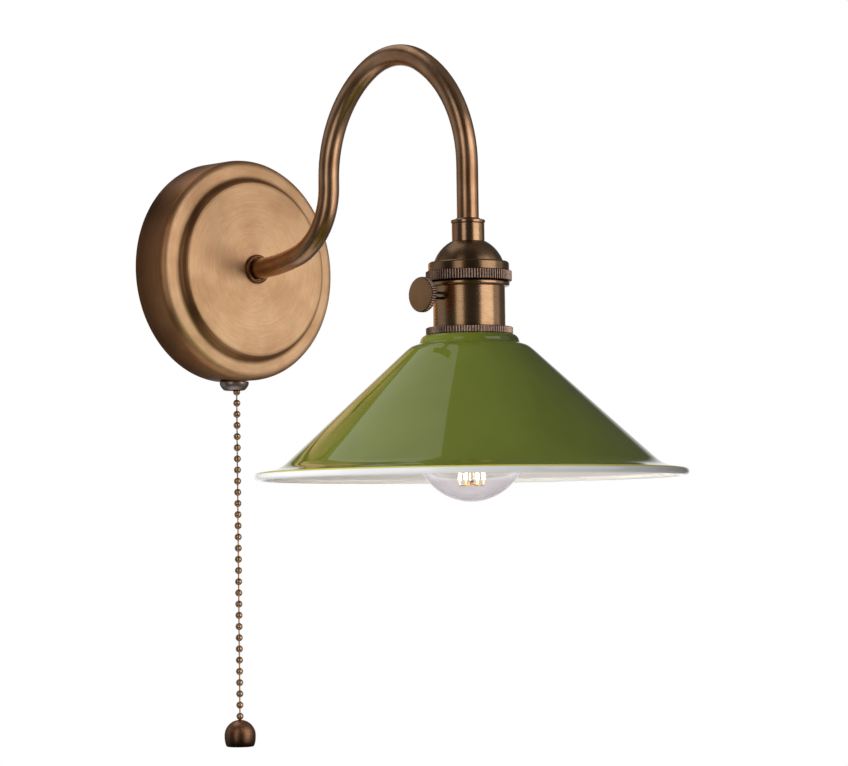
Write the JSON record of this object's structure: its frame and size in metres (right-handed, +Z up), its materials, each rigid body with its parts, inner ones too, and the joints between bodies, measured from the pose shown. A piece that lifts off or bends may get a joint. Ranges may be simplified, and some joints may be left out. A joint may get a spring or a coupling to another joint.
{
  "type": "gooseneck wall sconce",
  "caption": "Wall light with a round brushed canopy, gooseneck arm, keyed lampholder, open cone shade, clear bulb and ball-chain pull switch.",
  "frame": {"origin": "centre of the canopy on the wall plane", "axes": "+Y into the wall, -Y towards the room, +Z up, +X to the right seen from the room"},
  "size_m": [0.218, 0.3047, 0.3663],
  "materials": {
    "antique_copper": "steel plated in antique copper, brushed in circles and lacquered",
    "antique_brass": "brass darkened to antique bronze, brushed",
    "chain_brass": "brass ball chain, antique plated, polished",
    "gunmetal_nickel": "brass with dark gunmetal nickel plate, polished",
    "green_enamel": "spun steel, gloss olive green enamel outside, white inside",
    "zinc_steel": "zinc plated steel",
    "spring_steel": "bright drawn wire",
    "bare_brass": "bright brass",
    "white_nylon": "moulded nylon",
    "black_phenolic": "moulded phenolic",
    "black_flex": "two-core flex, black sheath",
    "lead_brown": "single lead, brown insulation",
    "lead_blue": "single lead, blue insulation",
    "lead_green": "single lead, green insulation",
    "fibre_liner": "insulating fibre paper",
    "porcelain": "glazed porcelain",
    "bulb_clear_glass": "clear blown glass",
    "black_glass": "black vitrite glass",
    "nickel_cap": "nickel plated screw cap",
    "solder_tin": "solder tip",
    "filament_phosphor": "phosphor coated filament strip"
  },
  "bodies": {
    "root": {"canopy": "antique_copper", "wall_bracket": "zinc_steel", "canopy_hook": "zinc_steel", "canopy_screw": "antique_brass", "bracket_screws": "zinc_steel", "terminal_block": "white_nylon", "block_inserts": "bare_brass", "block_screws": "zinc_steel", "arm_tube": "antique_copper", "m10_nipples": "zinc_steel", "arm_lock_washer": "zinc_steel", "m10_lock_nuts": "zinc_steel", "arm_ferrule": "antique_brass", "arm_flex": "black_flex", "switch_case": "black_phenolic", "switch_cover": "black_phenolic", "switch_bushing": "bare_brass", "bell_nut": "gunmetal_nickel", "return_spring": "spring_steel", "ratchet_axle": "zinc_steel", "switch_contacts": "bare_brass", "live_lead": "lead_brown", "switched_core": "lead_brown", "neutral_core": "lead_blue", "earth_lead": "lead_green", "neck_collar": "antique_brass", "holder_cap": "antique_brass", "cap_ring": "antique_brass", "holder_shell": "antique_brass", "shade_ring": "antique_brass", "shade_clamp": "antique_brass", "shade": "green_enamel", "holder_liner": "fibre_liner", "holder_core": "porcelain", "core_cover": "porcelain", "cover_screws": "zinc_steel", "holder_leads": "lead_brown", "lamp_screw_shell": "bare_brass", "centre_contact": "bare_brass", "key_contacts": "bare_brass", "bulb_glass": "bulb_clear_glass", "bulb_cap": "nickel_cap", "bulb_insulator": "black_glass", "bulb_tip": "solder_tin", "bulb_stem": "bulb_clear_glass", "bulb_filaments": "filament_phosphor", "bulb_wires": "spring_steel"},
    "pull": {"pull_slider": "white_nylon", "upper_chain": "chain_brass"},
    "ratchet": {"ratchet_wheel": "white_nylon"},
    "swing": {"swing_bead": "chain_brass"},
    "chain": {"chain_beads": "chain_brass", "chain_links": "chain_brass", "pull_ball": "antique_brass"},
    "key": {"key_shaft": "antique_brass", "key_knob": "antique_brass", "key_rotor": "black_phenolic"}
  },
  "joints": [
    {"name": "pull_switch", "type": "slide", "parent": "root", "child": "pull", "axis": [0, 0, -1], "range_m": [0, 0.0075], "stiffness_N_per_m": 600, "springref_m": -0.003, "deforming": ["return_spring"]},
    {"name": "ratchet_turn", "type": "hinge", "parent": "root", "child": "ratchet", "pos_m": [0.00827, -0.011, -0.04587], "axis": [0, -1, 0], "range_deg": [0, 90]},
    {"name": "chain_swing", "type": "hinge", "parent": "pull", "child": "swing", "pos_m": [0, -0.011, -0.0658], "axis": [-1, 0, 0], "range_deg": [-0.5, 45]},
    {"name": "chain_sway", "type": "hinge", "parent": "swing", "child": "chain", "pos_m": [0, -0.011, -0.0658], "axis": [0, 1, 0], "range_deg": [-45, 45]},
    {"name": "key_turn", "type": "hinge", "parent": "root", "child": "key", "pos_m": [0, -0.19575, -0.0268], "axis": [-1, 0, 0], "continuous": true}
  ],
  "couplings": [
    {"joint": "ratchet_turn", "follows": "pull_switch", "rad_per_m": 209.44}
  ]
}
